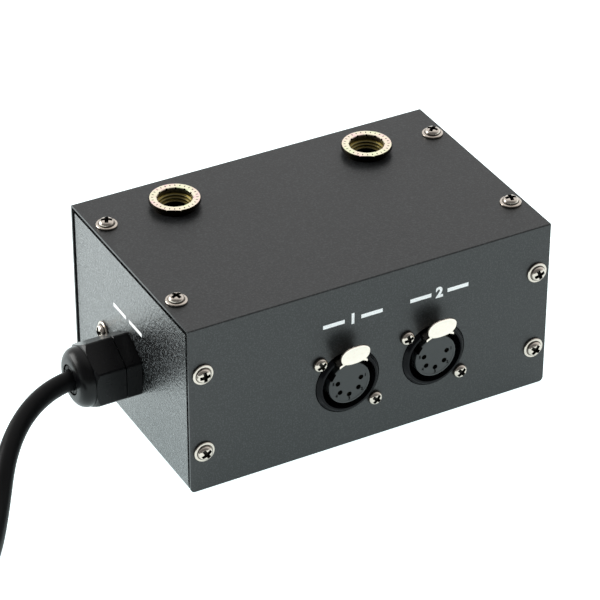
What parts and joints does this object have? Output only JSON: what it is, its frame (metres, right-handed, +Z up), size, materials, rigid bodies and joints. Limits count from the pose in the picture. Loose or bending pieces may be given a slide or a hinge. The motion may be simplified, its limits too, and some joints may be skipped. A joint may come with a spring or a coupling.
{
  "type": "dmx splitter",
  "caption": "Small folded sheet-metal splitter box for lighting data, with round locking outlets, an inlet behind, quarter-turn receptacles on top and a mains lead through a gland.",
  "frame": {"origin": "centre of the underside of the sheet-metal box, on the surface that it stands on", "axes": "+X to the right along the box as its front is looked at, +Y from the front to the rear, +Z up"},
  "size_m": [0.3221, 0.1392, 0.0687],
  "materials": {
    "black_coat": "black powder coat with a fine grain",
    "nickel_plate": "bright nickel plating",
    "yellow_zinc": "yellow passivated zinc plating",
    "black_shell": "black plated die-cast metal",
    "grey_insulator": "dark grey moulded insulator",
    "black_nylon": "black moulded nylon",
    "black_rubber": "soft black sheath",
    "laminate": "green solder mask over glass-fibre laminate",
    "epoxy": "black epoxy",
    "green_moulding": "green moulded plastic",
    "fuse_glass": "clear glass tube with nickel caps",
    "blue_sleeve": "blue shrink sleeve",
    "grey_ribbon": "grey ribbon insulation",
    "red_wire": "red wire insulation"
  },
  "bodies": {
    "box": {"cover": "black_coat", "base_tray": "black_coat", "cover_screw_top_1": "nickel_plate", "cover_screw_top_2": "nickel_plate", "cover_screw_top_3": "nickel_plate", "cover_screw_top_4": "nickel_plate", "cover_screw_front_1": "nickel_plate", "cover_screw_front_2": "nickel_plate", "cover_screw_front_3": "nickel_plate", "cover_screw_front_4": "nickel_plate", "cover_screw_rear_1": "nickel_plate", "cover_screw_rear_2": "nickel_plate", "cover_screw_rear_3": "nickel_plate", "cover_screw_rear_4": "nickel_plate", "earth_screw": "nickel_plate", "earth_lug": "nickel_plate", "earth_nut": "nickel_plate", "lock_receptacle_1": "yellow_zinc", "receptacle_nut_1": "yellow_zinc", "outlet_housing_1": "black_shell", "outlet_insert_1": "grey_insulator", "outlet_latch_spring_1": "nickel_plate", "outlet_screw_1_upper": "nickel_plate", "outlet_screw_1_lower": "nickel_plate", "lock_receptacle_2": "yellow_zinc", "receptacle_nut_2": "yellow_zinc", "outlet_housing_2": "black_shell", "outlet_insert_2": "grey_insulator", "outlet_latch_spring_2": "nickel_plate", "outlet_screw_2_upper": "nickel_plate", "outlet_screw_2_lower": "nickel_plate", "inlet_housing": "black_shell", "inlet_insert": "grey_insulator", "inlet_board": "laminate", "main_board": "laminate", "inlet_screw_upper": "nickel_plate", "inlet_screw_lower": "nickel_plate", "receiver_chip": "epoxy", "line_driver_chip_1": "epoxy", "line_driver_chip_2": "epoxy", "mains_supply": "epoxy", "smoothing_capacitor": "blue_sleeve", "supply_screw_1": "nickel_plate", "supply_screw_2": "nickel_plate", "mains_terminal": "green_moulding", "fuse": "fuse_glass", "supply_wires": "red_wire", "inlet_ribbon": "grey_ribbon", "mains_tail": "black_rubber", "gland_seal": "black_rubber", "mains_lead": "black_rubber", "mains_coil": "black_rubber", "plug_lead": "black_rubber", "gland_body": "black_nylon", "gland_nut": "black_nylon", "gland_locknut": "black_nylon", "mains_plug": "black_nylon", "plug_pins": "nickel_plate"},
    "left_latch": {"outlet_latch_1": "nickel_plate"},
    "right_latch": {"outlet_latch_2": "nickel_plate"}
  },
  "joints": [
    {"name": "left_latch_push", "type": "hinge", "parent": "box", "child": "left_latch", "pos_m": [-0.00985, -0.038, 0.036], "axis": [-1, 0, 0], "range_deg": [0, 6], "stiffness_Nm_per_rad": 0.3, "springref_deg": -2.86},
    {"name": "right_latch_push", "type": "hinge", "parent": "box", "child": "right_latch", "pos_m": [0.0241, -0.038, 0.036], "axis": [-1, 0, 0], "range_deg": [0, 6], "stiffness_Nm_per_rad": 0.3, "springref_deg": -2.86}
  ]
}
